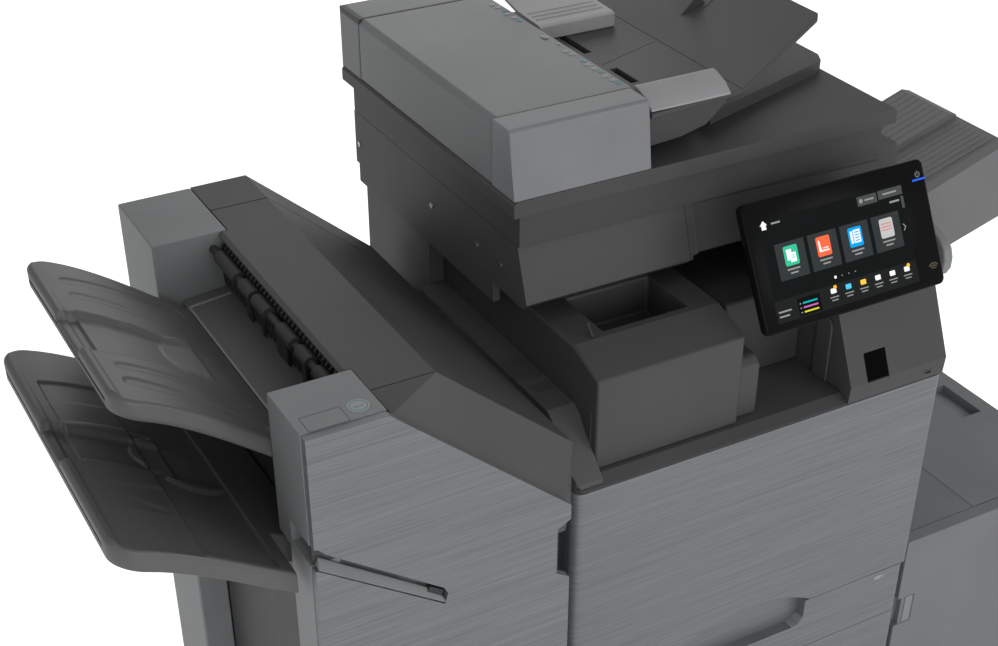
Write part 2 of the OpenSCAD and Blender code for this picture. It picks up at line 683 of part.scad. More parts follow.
base_plate();
engine_frame();
left_cover();
right_cover();
rear_cover();
bay_deck();
relay_unit_cover();
right_pillar();
panel_arm();
scanner_housing();
platen_glass();
scan_carriage();
right_exit_tray();
imaging_unit();
fuser_heat_roller();
fuser_press_roller();
toner_cartridge_1();
toner_cartridge_2();
toner_cartridge_3();
toner_cartridge_4();
front_cover();
drawer_1_front();
drawer_2_front();
drawer_3_front();
drawer_4_front();
drawer_1_tray();
drawer_2_tray();
drawer_3_tray();
drawer_4_tray();
housing_screws();
caster_mounts();
caster_wheel_1();
caster_wheel_2();
caster_wheel_3();
caster_wheel_4();
feeder_base();
platen_pad();
document_tray();
feeder_cover();
feeder_front_cap();
guide_front();
guide_rear();
pickup_roller();
panel_housing();
panel_screen();
power_button();
finisher_frame();
finisher_front_column();
finisher_rear_column();
finisher_shoulder();
finisher_top_cover();
finisher_door();
exit_guide_plate();
exit_roller();
staple_button();
offset_tray_upper();
offset_tray_lower();
cabinet_body();
cabinet_lid();
levelling_feet();
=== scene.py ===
import json
import math
import bpy
import bmesh
import numpy as np
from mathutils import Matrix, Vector

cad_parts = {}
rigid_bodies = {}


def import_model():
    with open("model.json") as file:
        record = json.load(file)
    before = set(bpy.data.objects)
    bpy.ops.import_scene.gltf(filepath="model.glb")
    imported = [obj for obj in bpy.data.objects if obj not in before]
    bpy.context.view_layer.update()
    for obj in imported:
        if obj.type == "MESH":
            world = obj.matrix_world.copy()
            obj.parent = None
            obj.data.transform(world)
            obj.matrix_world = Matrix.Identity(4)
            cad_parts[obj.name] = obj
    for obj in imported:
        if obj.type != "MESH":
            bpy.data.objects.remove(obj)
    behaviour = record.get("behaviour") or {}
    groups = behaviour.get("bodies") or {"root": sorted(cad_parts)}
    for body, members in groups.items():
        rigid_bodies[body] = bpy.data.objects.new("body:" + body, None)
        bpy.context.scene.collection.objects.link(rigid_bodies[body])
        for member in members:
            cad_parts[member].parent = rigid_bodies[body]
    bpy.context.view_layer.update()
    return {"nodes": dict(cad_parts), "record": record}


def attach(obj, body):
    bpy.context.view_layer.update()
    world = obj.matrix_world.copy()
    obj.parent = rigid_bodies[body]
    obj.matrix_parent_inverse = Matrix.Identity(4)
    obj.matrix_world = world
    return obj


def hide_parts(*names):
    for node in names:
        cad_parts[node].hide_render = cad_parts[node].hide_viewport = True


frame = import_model()
nodes = frame["nodes"]
bodyOf = {n: b for b, members in frame["record"]["behaviour"]["bodies"].items() for n in members}
slotOf = {p["node"]: p["material_slot"] for p in frame["record"]["subparts"]}
print("frame loaded:", len(nodes), "nodes")

# working axes: millimetres from the engine's left front edge at the height of the dark deck
deckOrigin = np.array([193.0, 300.5, -775.0])


# metres in the row's frame = (working millimetres - offset) / 1000
def toRow(points):
    return (np.asarray(points, float) - deckOrigin) / 1000.0


# ---- camera and light

cameraPlace = dict(at=(-1.04766, -1.65182, 1.97674), azimuth=28.889, elevation=34.553,
                   lens=57.56, sensor=36.0, shiftY=0.1072)


def makeCamera(s):
    data = bpy.data.cameras.new("camera")
    data.lens, data.sensor_width, data.shift_y = s["lens"], s["sensor"], s["shiftY"]
    data.clip_start, data.clip_end = 0.05, 60
    cam = bpy.data.objects.new("camera", data)
    bpy.context.scene.collection.objects.link(cam)
    az, el = math.radians(s["azimuth"]), math.radians(s["elevation"])
    forward = Vector((math.sin(az) * math.cos(el), math.cos(az) * math.cos(el), -math.sin(el)))
    cam.location = s["at"]
    cam.rotation_mode = "QUATERNION"
    cam.rotation_quaternion = forward.to_track_quat("-Z", "Y")
    bpy.context.scene.camera = cam


lightPlan = [
    dict(name="frontKey", at=(2.2, -3.4, 2.3), look=(0.1, 0, 0.8), size=2.4, watts=29),
    dict(name="eyeFill", at=(-1.0, -3.0, 1.5), look=(0.1, 0, 0.75), size=1.8, watts=22),
    dict(name="topSoft", at=(-0.4, 0.2, 3.9), look=(0, 0, 0.8), size=3.0, watts=3),
    dict(name="leftFill", at=(-3.6, -0.6, 1.6), look=(0, 0, 0.7), size=2.2, watts=3),
    dict(name="backRim", at=(1.6, 3.2, 2.4), look=(0, 0, 0.8), size=2.2, watts=12),
]


def makeLights(plan):
    for s in plan:
        data = bpy.data.lights.new(s["name"], "AREA")
        data.shape, data.size, data.energy = "DISK", s["size"], s["watts"]
        lamp = bpy.data.objects.new(s["name"], data)
        bpy.context.scene.collection.objects.link(lamp)
        lamp.location = s["at"]
        lamp.rotation_mode = "QUATERNION"
        lamp.rotation_quaternion = (Vector(s["look"]) - Vector(s["at"])).to_track_quat("-Z", "Y")


floorLook = dict(half=14.0, colour=(0.86, 0.86, 0.86), seen=0.8, cast=0.26, sky=0.44, skySeen=1.0)


def makeStage(s):
    mesh = bpy.data.meshes.new("floor")
    h = s["half"]
    below = -0.0004
    mesh.from_pydata([(-h, -h, below), (h, -h, below), (h, h, below), (-h, h, below)], [], [(0, 1, 2, 3)])
    floor = bpy.data.objects.new("floor", mesh)
    bpy.context.scene.collection.objects.link(floor)
    mat = bpy.data.materials.new("paleFloor")
    mat.use_nodes = True
    b = mat.node_tree.nodes["Principled BSDF"]
    b.inputs["Base Color"].default_value = (*s["colour"], 1)
    b.inputs["Roughness"].default_value = 0.7
    b.inputs["Emission Color"].default_value = (1, 1, 1, 1)
    path = mat.node_tree.nodes.new("ShaderNodeLightPath")
    glow = mat.node_tree.nodes.new("ShaderNodeMapRange")  # bright to the eye, dim as a lamp
    glow.inputs["To Min"].default_value, glow.inputs["To Max"].default_value = s["cast"], s["seen"]
    mat.node_tree.links.new(path.outputs["Is Camera Ray"], glow.inputs["Value"])
    mat.node_tree.links.new(glow.outputs["Result"], b.inputs["Emission Strength"])
    mesh.materials.append(mat)
    world = bpy.data.worlds.new("studio")
    bpy.context.scene.world = world
    world.use_nodes = True
    back = world.node_tree.nodes["Background"]
    back.inputs["Color"].default_value = (1, 1, 1, 1)
    skyPath = world.node_tree.nodes.new("ShaderNodeLightPath")
    skyMap = world.node_tree.nodes.new("ShaderNodeMapRange")
    skyMap.inputs["To Min"].default_value, skyMap.inputs["To Max"].default_value = s["sky"], s["skySeen"]
    world.node_tree.links.new(skyPath.outputs["Is Camera Ray"], skyMap.inputs["Value"])
    world.node_tree.links.new(skyMap.outputs["Result"], back.inputs["Strength"])
    bpy.context.scene.view_settings.view_transform = "Standard"


makeCamera(cameraPlace)
makeLights(lightPlan)
makeStage(floorLook)
print("camera and light placed")

# ---- shared effects


def newGroup(name, ins, outs):
    tree = bpy.data.node_groups.new(name, "ShaderNodeTree")
    for label, kind, value in ins:
        sock = tree.interface.new_socket(name=label, in_out="INPUT", socket_type=kind)
        if value is not None:
            sock.default_value = value
    for label, kind in outs:
        tree.interface.new_socket(name=label, in_out="OUTPUT", socket_type=kind)
    return tree, tree.nodes.new("NodeGroupInput"), tree.nodes.new("NodeGroupOutput")


def mathNode(tree, op, a, b=None, clamp=False):
    n = tree.nodes.new("ShaderNodeMath")
    n.operation, n.use_clamp = op, clamp
    for i, v in enumerate((a, b)):
        if v is None:
            continue
        if isinstance(v, (int, float)):
            n.inputs[i].default_value = v
        else:
            tree.links.new(v, n.inputs[i])
    return n.outputs[0]


def noiseNode(tree, vector, scale, detail=2.0, rough=0.5):
    n = tree.nodes.new("ShaderNodeTexNoise")
    n.inputs["Detail"].default_value, n.inputs["Roughness"].default_value = detail, rough
    tree.links.new(vector, n.inputs["Vector"])
    if isinstance(scale, (int, float)):
        n.inputs["Scale"].default_value = scale
    else:
        tree.links.new(scale, n.inputs["Scale"])
    return n.outputs[0]


def stretched(tree, vector, scale):
    n = tree.nodes.new("ShaderNodeVectorMath")
    n.operation = "MULTIPLY"
    tree.links.new(vector, n.inputs[0])
    n.inputs[1].default_value = scale
    return n.outputs[0]


# fine spark-eroded grain of a moulding, with a slow change of tone over the part
def makeGrainGroup():
    tree, a, z = newGroup("mouldGrain", [("Vector", "NodeSocketVector", None), ("Grain", "NodeSocketFloat", 900.0),
                                         ("Patch", "NodeSocketFloat", 7.0)],
                          [("Height", "NodeSocketFloat"), ("Tone", "NodeSocketFloat")])
    fine = noiseNode(tree, a.outputs["Vector"], a.outputs["Grain"], 1.5, 0.6)
    slow = noiseNode(tree, a.outputs["Vector"], a.outputs["Patch"], 3.0, 0.55)
    tone = mathNode(tree, "ADD", mathNode(tree, "MULTIPLY", slow, 0.7), mathNode(tree, "MULTIPLY", fine, 0.3))
    tree.links.new(fine, z.inputs["Height"])
    tree.links.new(tone, z.inputs["Tone"])
    return tree


# brushed film: long level streaks, fine ones over broad ones
def makeBrushGroup():
    tree, a, z = newGroup("brushedFilm", [("Vector", "NodeSocketVector", None)],
                          [("Streak", "NodeSocketFloat"), ("Height", "NodeSocketFloat")])
    v = a.outputs["Vector"]
    fine = noiseNode(tree, stretched(tree, v, (7, 7, 900)), 1.0, 2.0, 0.6)
    broad = noiseNode(tree, stretched(tree, v, (2.6, 2.6, 330)), 1.0, 3.0, 0.6)
    hair = noiseNode(tree, stretched(tree, v, (18, 18, 2100)), 1.0, 1.0, 0.5)
    both = mathNode(tree, "ADD", mathNode(tree, "MULTIPLY", fine, 0.45), mathNode(tree, "MULTIPLY", broad, 0.35))
    both = mathNode(tree, "ADD", both, mathNode(tree, "MULTIPLY", hair, 0.2))
    tree.links.new(both, z.inputs["Streak"])
    tree.links.new(mathNode(tree, "ADD", mathNode(tree, "MULTIPLY", fine, 0.6), mathNode(tree, "MULTIPLY", hair, 0.4)),
                   z.inputs["Height"])
    return tree


# handling marks: sparse smears that change the gloss
def makeSmearGroup():
    tree, a, z = newGroup("handling", [("Vector", "NodeSocketVector", None), ("Base", "NodeSocketFloat", 0.5),
                                       ("Change", "NodeSocketFloat", 0.1)], [("Roughness", "NodeSocketFloat")])
    n = noiseNode(tree, a.outputs["Vector"], 14.0, 5.0, 0.65)
    swing = mathNode(tree, "MULTIPLY", mathNode(tree, "SUBTRACT", n, 0.5), a.outputs["Change"])
    tree.links.new(mathNode(tree, "ADD", swing, a.outputs["Base"], clamp=True), z.inputs["Roughness"])
    return tree


grainGroup, brushGroup, smearGroup = makeGrainGroup(), makeBrushGroup(), makeSmearGroup()


def useGroup(tree, group, vector, **values):
    n = tree.nodes.new("ShaderNodeGroup")
    n.node_tree = group
    tree.links.new(vector, n.inputs["Vector"])
    for k, v in values.items():
        n.inputs[k].default_value = v
    return n


def rampNode(tree, value, low, high, start=0.35, end=0.65):
    n = tree.nodes.new("ShaderNodeValToRGB")
    n.color_ramp.elements[0].position, n.color_ramp.elements[1].position = start, end
    n.color_ramp.elements[0].color, n.color_ramp.elements[1].color = (*low, 1), (*high, 1)
    tree.links.new(value, n.inputs["Fac"])
    return n.outputs["Color"]


def shade(colour, k):
    return tuple(min(1.0, c * k) for c in colour)


# one moulded plastic: tone drifts between two close colours, grain gives the bump
def plastic(name, colour, rough, grain=900.0, bump=0.12, drift=0.09, smear=0.12, specular=0.5):
    mat = bpy.data.materials.new(name)
    mat.use_nodes = True
    tree = mat.node_tree
    b = tree.nodes["Principled BSDF"]
    where = tree.nodes.new("ShaderNodeTexCoord").outputs["Object"]
    g = useGroup(tree, grainGroup, where, Grain=grain)
    tone = rampNode(tree, g.outputs["Tone"], shade(colour, 1 - drift), shade(colour, 1 + drift))
    tree.links.new(tone, b.inputs["Base Color"])
    h = useGroup(tree, smearGroup, where, Base=rough, Change=smear)
    tree.links.new(h.outputs["Roughness"], b.inputs["Roughness"])
    bumpNode = tree.nodes.new("ShaderNodeBump")
    bumpNode.inputs["Strength"].default_value = bump
    bumpNode.inputs["Distance"].default_value = 0.0004
    tree.links.new(g.outputs["Height"], bumpNode.inputs["Height"])
    tree.links.new(bumpNode.outputs["Normal"], b.inputs["Normal"])
    b.inputs["Specular IOR Level"].default_value = specular
    return mat


# brushed film over a moulding
def brushedPanel(name, colour, rough):
    mat = bpy.data.materials.new(name)
    mat.use_nodes = True
    tree = mat.node_tree
    b = tree.nodes["Principled BSDF"]
    where = tree.nodes.new("ShaderNodeTexCoord").outputs["Object"]
    g = useGroup(tree, brushGroup, where)
    tone = rampNode(tree, g.outputs["Streak"], shade(colour, 0.76), shade(colour, 1.26), 0.36, 0.64)
    tree.links.new(tone, b.inputs["Base Color"])
    bumpNode = tree.nodes.new("ShaderNodeBump")
    bumpNode.inputs["Strength"].default_value = 0.22
    bumpNode.inputs["Distance"].default_value = 0.0003
    tree.links.new(g.outputs["Height"], bumpNode.inputs["Height"])
    tree.links.new(bumpNode.outputs["Normal"], b.inputs["Normal"])
    b.inputs["Metallic"].default_value = 0.25
    b.inputs["Roughness"].default_value = rough
    return mat


def sheetMetal(name, colour, rough):
    mat = plastic(name, colour, rough, grain=420.0, bump=0.05, drift=0.12, smear=0.2)
    mat.node_tree.nodes["Principled BSDF"].inputs["Metallic"].default_value = 1.0
    return mat


def clearGlass(name, colour):
    mat = bpy.data.materials.new(name)
    mat.use_nodes = True
    b = mat.node_tree.nodes["Principled BSDF"]
    b.inputs["Base Color"].default_value = (*colour, 1)
    b.inputs["Roughness"].default_value = 0.04
    b.inputs["Transmission Weight"].default_value = 0.85
    return mat


finish = {
    "brushed_panel": brushedPanel("brushedPanel", (0.172, 0.182, 0.190), 0.42),
    "dark_plastic": plastic("darkPlastic", (0.057, 0.057, 0.060), 0.5, specular=0.4),
    "shade_plastic": plastic("shadePlastic", (0.045, 0.045, 0.048), 0.5),
    "grey_plastic": plastic("greyPlastic", (0.210, 0.220, 0.225), 0.46),
    "feeder_grey": plastic("feederGrey", (0.168, 0.174, 0.178), 0.44, bump=0.08),
    "tray_plastic": plastic("trayPlastic", (0.094, 0.0925, 0.091), 0.42, bump=0.08),
    "guide_plastic": plastic("guidePlastic", (0.33, 0.33, 0.34), 0.4, bump=0.06),
    "zinc_steel": sheetMetal("zincSteel", (0.56, 0.57, 0.58), 0.34),
    "screen_glass": plastic("screenGlass", (0.006, 0.006, 0.007), 0.16, bump=0.0, smear=0.05, specular=0.06),
    "scan_glass": clearGlass("scanGlass", (0.72, 0.86, 0.83)),
    "white_pad": plastic("whitePad", (0.82, 0.82, 0.80), 0.6, drift=0.03),
    "rubber": plastic("blackRubber", (0.028, 0.028, 0.030), 0.62, grain=600.0, bump=0.2),
    "wheel_tyre": plastic("wheelTyre", (0.032, 0.032, 0.034), 0.55, grain=500.0, bump=0.2),
    "blue_light": plastic("blueKey", (0.02, 0.08, 0.42), 0.25, bump=0.0),
    "belt_black": plastic("beltBlack", (0.030, 0.036, 0.046), 0.3, bump=0.04),
    "toner_black": plastic("tonerBlack", (0.022, 0.022, 0.026), 0.5),
    "toner_cyan": plastic("tonerCyan", (0.03, 0.27, 0.44), 0.5),
    "toner_magenta": plastic("tonerMagenta", (0.44, 0.045, 0.21), 0.5),
    "toner_yellow": plastic("tonerYellow", (0.62, 0.48, 0.035), 0.5),
    "fuser_coating": plastic("fuserCoating", (0.21, 0.085, 0.055), 0.35, bump=0.05),
}
for node, piece in nodes.items():
    piece.data.materials.clear()
    piece.data.materials.append(finish[slotOf[node]])
    piece.data.polygons.foreach_set("material_index", np.zeros(len(piece.data.polygons), np.int32))
print("finishes made")

# ---- mesh tools


def putInScene(name, mesh, body, slotName):
    piece = bpy.data.objects.new(name, mesh)
    bpy.context.scene.collection.objects.link(piece)
    mesh.materials.append(finish[slotName])
    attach(piece, body)
    return piece


def shadeSmooth(mesh, angle):
    mesh.polygons.foreach_set("use_smooth", np.ones(len(mesh.polygons), bool))
    mesh.set_sharp_from_angle(angle=math.radians(angle))


# flat faces stay flat beside a bevel, and sharp edges stay sharp
def keepFlat(piece):
    fix = piece.modifiers.new("flats", "WEIGHTED_NORMAL")
    fix.keep_sharp, fix.weight = True, 80


# the round groove and barrel of the cabinet lid keep their exact shape within reach millimetres of the hinge line
lidHinge = dict(nodes=("cabinet_body", "cabinet_lid"), x=749.4, z=-308.5, reach=15.0)


def clearOfHinge(node, corner):
    x, _, z = toRow((lidHinge["x"], 0, lidHinge["z"]))
    return node not in lidHinge["nodes"] or math.hypot(corner.co.x - x, corner.co.z - z) > lidHinge["reach"] / 1000


softening = dict(weld=2e-6, flat=0.6, close=5e-4, sharp=28, shortest=1.6, segments=3, smooth=40)


# a CAD part with its edges rounded: the same mesh, welded, flats merged and edges under half a millimetre closed,
# then a bevel of the width in millimetres on every sharp edge longer than 1.6 times the bevel
def soften(node, width, s):
    mesh = nodes[node].data.copy()
    mesh.name = node + "Soft"
    work = bmesh.new()
    work.from_mesh(mesh)
    bmesh.ops.remove_doubles(work, verts=work.verts, dist=s["weld"])
    bmesh.ops.dissolve_limit(work, angle_limit=math.radians(s["flat"]), verts=work.verts, edges=work.edges)
    free = [v for v in work.verts if clearOfHinge(node, v)]
    bmesh.ops.remove_doubles(work, verts=free, dist=s["close"])
    shortest = s["shortest"] * width / 1000
    weight = work.edges.layers.float.new("bevel_weight_edge")
    for e in work.edges:
        sharp = len(e.link_faces) == 2 and e.calc_face_angle(0) > math.radians(s["sharp"])
        if sharp and e.calc_length() > shortest and all(clearOfHinge(node, v) for v in e.verts):
            e[weight] = 1.0
    work.to_mesh(mesh)
    work.free()
    mesh.materials.clear()
    shadeSmooth(mesh, s["smooth"])
    piece = putInScene(node + "Skin", mesh, bodyOf[node], slotOf[node])
    bev = piece.modifiers.new("edges", "BEVEL")
    bev.width, bev.segments, bev.limit_method = width / 1000.0, s["segments"], "WEIGHT"
    keepFlat(piece)
    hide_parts(node)


# bevel width of each softened part, in millimetres
softEdges = {
    "front_cover": 5, "drawer_1_front": 4, "drawer_2_front": 4, "drawer_3_front": 4, "drawer_4_front": 4,
    "finisher_door": 6, "finisher_front_column": 2, "finisher_rear_column": 2.5, "finisher_shoulder": 2,
    "finisher_top_cover": 1.4, "exit_guide_plate": 1, "left_cover": 2.5, "right_cover": 2.5, "rear_cover": 2,
    "bay_deck": 2.5, "relay_unit_cover": 4, "right_pillar": 3, "scanner_housing": 3, "feeder_base": 2.4,
    "feeder_cover": 3, "feeder_front_cap": 6, "right_exit_tray": 2.5,
    "cabinet_body": 1.5, "cabinet_lid": 0.8, "document_tray": 1.2, "guide_front": 0.8, "guide_rear": 0.8,
    "staple_button": 0.6, "power_button": 0.5,
}
for node, width in softEdges.items():
    soften(node, width, softening)
print("edges rounded:", len(softEdges))


# 0 to 1 across a width, level at both ends
def ease(d, width):
    t = np.clip(np.asarray(d, float) / width + 0.5, 0, 1)
    return t * t * (3 - 2 * t)


# 1 between two values, falling to 0 over a width at each
def between(v, low, high, width):
    return ease(v - low, width) * ease(high - v, width)


# 1 along a straight line from a to b, thickness wide, fading over soft
def alongLine(x, y, a, b, thickness, soft):
    a, b = np.array(a, float), np.array(b, float)
    d = b - a
    t = np.clip(((x - a[0]) * d[0] + (y - a[1]) * d[1]) / (d @ d), 0, 1)
    return ease(thickness / 2 - np.hypot(x - a[0] - t * d[0], y - a[1] - t * d[1]), soft)


def gridFaces(rows, cols, first=0, flip=False):
    i = np.arange(rows - 1)[:, None] * cols + np.arange(cols - 1)[None, :] + first
    q = np.stack([i, i + 1, i + cols + 1, i + cols], -1).reshape(-1, 4)
    return q[:, ::-1] if flip else q


def ringIndex(rows, cols, first=0):
    g = np.arange(rows * cols).reshape(rows, cols) + first
    return np.concatenate([g[0, :-1], g[:-1, -1], g[-1, ::-1][:-1], g[::-1, 0][:-1]])


def ringFaces(a, b):
    return np.stack([a, np.roll(a, -1), np.roll(b, -1), b], -1)


# a mesh from millimetre points and faces of equal length
def meshPiece(name, points, faces, body, slotName, angle=35):
    mesh = bpy.data.meshes.new(name)
    mesh.from_pydata(toRow(points).tolist(), [], [list(map(int, f)) for f in faces])
    work = bmesh.new()
    work.from_mesh(mesh)
    bmesh.ops.recalc_face_normals(work, faces=work.faces)
    work.to_mesh(mesh)
    work.free()
    mesh.validate()
    shadeSmooth(mesh, angle)
    return putInScene(name, mesh, body, slotName)


def addBevel(piece, width, segments=3, angle=28):
    bev = piece.modifiers.new("edges", "BEVEL")
    bev.width, bev.segments, bev.limit_method = width / 1000.0, segments, "ANGLE"
    bev.angle_limit = math.radians(angle)
    keepFlat(piece)
    return piece


# a flat outline carried along one axis from a to b
def prism(name, outline, axis, a, b, body, slotName, bevel=0.0, segments=3):
    o = np.array(outline, float)
    n = len(o)
    pts = np.zeros((2 * n, 3))
    u, v = [k for k in range(3) if k != axis]
    for k, value in enumerate((a, b)):
        pts[k * n:(k + 1) * n, u], pts[k * n:(k + 1) * n, v], pts[k * n:(k + 1) * n, axis] = o[:, 0], o[:, 1], value
    faces = [list(range(n))[::-1], list(range(n, 2 * n))] + [[i, (i + 1) % n, (i + 1) % n + n, i + n] for i in range(n)]
    piece = meshPiece(name, pts, faces, body, slotName, 30)
    return addBevel(piece, bevel, segments) if bevel else piece


# ---- finisher trays

upperTray = dict(line=[(-541, 290), (-515, 281), (-460, 251), (-418, 222), (-386, 196), (-346, 167)],
                 y=(46, 400), rim=25, corner=30, rows=120, cols=150, groove=(12, 4.6, 6.0), gap=(78, 372))
lowerTray = dict(line=[(-586, 166), (-552, 156), (-480, 119), (-430, 87), (-388, 61)],
                 y=(-40, 420), rim=28, corner=34, rows=120, cols=170, groove=(13, 4.6, 6.0), gap=(2, 392))


def upperRelief(x, y):
    h = 2.6 * ease(-529 - x, 5)  # lip at the outer end
    mid = 212 - 0.06 * (x + 520)
    half = 47 - 0.05 * (x + 520)
    fade = 1 - ease(x + 402, 70)
    h = h - 8.5 * ease(half - np.abs(y - mid), 9) * ease(x + 519, 6) * fade  # channel down the middle
    notch = ease(44 - np.abs(y - 211), 5) * ease(-519 - x, 5)
    h = h - 11.5 * notch
    moon = ease(45 - np.hypot(x + 390, y - 218), 1.6) * ease(-390 - x, 1.6)
    h = h + moon * (3.2 + 0.04 * (x + 390))
    for a, b, w, d in [((-503, 307), (-352, 303), 15, -1.8), ((-503, 346), (-372, 366), 17, -2.0),
                       ((-505, 96), (-372, 74), 17, -2.2), ((-505, 132), (-372, 128), 13, -1.8)]:
        h = h + d * alongLine(x, y, a, b, w, 3.5)
    h = h + 1.3 * alongLine(x, y, (-470, 257), (-356, 262), 3, 2.4)
    h = h + 1.3 * alongLine(x, y, (-470, 166), (-360, 152), 3, 2.4)
    return h


def lowerRelief(x, y):
    h = 2.6 * ease(-573 - x, 5)
    h = h - 3.0 * between(y, 288, 334, 2.5) * ease(x + 561, 3) - 1.6 * between(y, 236, 288, 2.5) * ease(x + 561, 3)
    mid = 190 - 0.18 * (x + 560)
    h = h - 8.0 * ease(34 - np.abs(y - mid), 8) * ease(x + 560, 6) * (1 - ease(x + 455, 60))
    h = h - 11.5 * ease(40 - np.abs(y - 192), 5) * ease(-560 - x, 5)
    well = between(x, -486, -403, 2.2) * between(y, -29, 300, 2.2)
    h = h - 4.6 * well
    moon = ease(40 - np.hypot(x + 458, y - 186), 1.6) * ease(-459 - x, 1.6)
    h = h + moon * (6.0 + 0.05 * (x + 458))
    ramp = ease(44 - np.hypot(x + 440, y - 162), 1.6) * ease(136 - y, 2.0)
    h = h + ramp * 4.4
    # folds that meet at a point on the front half
    slope = np.clip((x + 562) / 76.0, 0, 1)
    h = h - 2.6 * slope * between(y, 50, 100, 5) * ease(-487 - x, 2)
    h = h - 2.2 * slope * ease(48 - y - (x + 488) * 0.6, 4) * ease(-487 - x, 2)
    for a, b in [((-446, 196), (-392, 208)), ((-470, 250), (-392, 262))]:
        h = h + 1.2 * alongLine(x, y, a, b, 3, 2)
    return h


# tray: rows run along the length, where a cubic through the line gives the height, columns run across;
# the front and rear limits follow a quarter circle at each outer corner, and relief is added on top
def trayShell(name, node, body, s, relief):
    line = np.array(s["line"], float)
    cubic = np.polyfit(line[:, 0], line[:, 1], 3)
    x0, x1 = line[0, 0], line[-1, 0]
    y0, y1 = s["y"]
    near = np.linspace(0, 1, s["rows"] // 3) ** 1.6 * 36
    x = x0 + np.concatenate([near, np.linspace(36, x1 - x0, s["rows"] - len(near) + 1)[1:]])
    r = s["corner"]
    pull = r - np.sqrt(np.maximum(r * r - np.maximum(r - (x - x0), 0) ** 2, 0))
    t = np.linspace(0, 1, s["cols"])
    t = t - 0.35 * np.sin(2 * np.pi * t) / (2 * np.pi)
    yy = (y0 + pull)[:, None] + t[None, :] * (y1 - y0 - 2 * pull)[:, None]
    xx = np.repeat(x[:, None], s["cols"], 1)
    base = np.polyval(cubic, xx)
    edge = np.minimum(np.minimum(yy - y0, y1 - yy), xx - x0)
    cornerX, cornerY = np.minimum(xx - x0 - r, 0), np.minimum(np.minimum(yy - y0, y1 - yy) - r, 0)
    edge = np.where((cornerX < 0) & (cornerY < 0), r - np.hypot(cornerX, cornerY), edge)
    roll = 4.5
    drop = roll - np.sqrt(np.maximum(roll ** 2 - np.maximum(roll - np.maximum(edge, 0), 0) ** 2, 0))
    top = np.stack([xx, yy, base + relief(xx, yy) * ease(edge - 3, 6) - drop], -1)
    notched = relief(xx, yy) < -5
    top[..., 2] = np.where(notched & (edge < 8), base + relief(xx, yy) - drop, top[..., 2])
    rows, cols = top.shape[:2]
    n = rows * cols
    ring = ringIndex(rows, cols)
    rx, ry, rz = xx.ravel()[ring], yy.ravel()[ring], base.ravel()[ring]
    centre = np.array([(x0 + x1) / 2, (y0 + y1) / 2])

    def inset(by):
        kx, ky = 1 - 2 * by / (x1 - x0), 1 - 2 * by / (y1 - y0)
        return centre[0] + (rx - centre[0]) * kx, centre[1] + (ry - centre[1]) * ky

    g0, gh, gd = s["groove"]
    cut = between(ry, s["gap"][0], s["gap"][1], 4) * ease(x0 + 6 - rx, 4)
    rim = s["rim"]
    loops = [(0, g0, 0), (gd, g0, 0), (gd, g0 + gh, 0), (0, g0 + gh, 0)]
    loops += [(0, rim - 1.5, 1), (1.0, rim, 1), (3.2, rim, 1)]
    rings, points, faces = [ring], [top.reshape(-1, 3)], [gridFaces(rows, cols)]
    for by, down, plain in loops:
        ix, iy = inset(by)
        k = 1 if plain else cut
        px, py = rx + (ix - rx) * k, ry + (iy - ry) * k
        points.append(np.stack([px, py, rz - down], -1))
        rings.append(np.arange(len(ring)) + n + (len(points) - 2) * len(ring))
    kx, ky = 1 - 2 * 4.0 / (x1 - x0), 1 - 2 * 4.0 / (y1 - y0)
    under = np.stack([centre[0] + (xx - centre[0]) * kx, centre[1] + (yy - centre[1]) * ky, base - 14.0], -1)
    firstUnder = n + len(loops) * len(ring)
    points.append(under.reshape(-1, 3))
    rings.append(ringIndex(rows, cols, firstUnder))
    faces += [ringFaces(rings[k], rings[k + 1]) for k in range(len(rings) - 1)]
    faces.append(gridFaces(rows, cols, firstUnder, flip=True))
    piece = meshPiece(name, np.concatenate(points), np.concatenate(faces), body, "tray_plastic", 50)
    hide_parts(node)


trayShell("upperTray", "offset_tray_upper", "offset_tray_upper", upperTray, upperRelief)
trayShell("lowerTray", "offset_tray_lower", "offset_tray_lower", lowerTray, lowerRelief)
prism("lowerTrayRoot", [(-389, 60), (-334, 30), (-334, -5), (-383, 14), (-389, 34)], 1, 46, 400,
      "offset_tray_lower", "tray_plastic", 2.0)
print("finisher trays made")


# a bar with softened upper edges carried along a path; side is its width direction
def ridge(name, path, side, width, height, body, slotName, sink=0.6):
    p = np.array(path, float)
    along = np.gradient(p, axis=0)
    s = np.array(side, float)
    up = np.cross(along, s)
    up /= np.linalg.norm(up, axis=1)[:, None]
    up *= np.sign(up[:, 2:3] + 1e-9)
    shoulder = height * 0.55
    section = [(-0.5, -sink), (-0.5, shoulder), (-0.28, height), (0.28, height), (0.5, shoulder), (0.5, -sink)]
    pts = np.stack([p + s * width * a + up * b for a, b in section], 1)
    n, m = pts.shape[:2]
    faces = gridFaces(n, m).tolist() + [[(i + 1) * m - 1, i * m, (i + 1) * m, (i + 2) * m - 1] for i in range(n - 1)]
    faces += [list(range(m)), list(range((n - 1) * m, n * m))]
    return meshPiece(name, pts.reshape(-1, 3), faces, body, slotName, 40)


def roundedOutline(u0, v0, u1, v1, r, n=7):
    t = np.linspace(0, np.pi / 2, n)
    corners = [(u1 - r, v1 - r, 0), (u0 + r, v1 - r, 1), (u0 + r, v0 + r, 2), (u1 - r, v0 + r, 3)]
    return np.concatenate([np.stack([cu + r * np.cos(t + k * np.pi / 2), cv + r * np.sin(t + k * np.pi / 2)], -1)
                           for cu, cv, k in corners])


def disc(cu, cv, r, n=24):
    t = np.linspace(0, 2 * np.pi, n, endpoint=False)
    return np.stack([cu + r * np.cos(t), cv + r * np.sin(t)], -1)


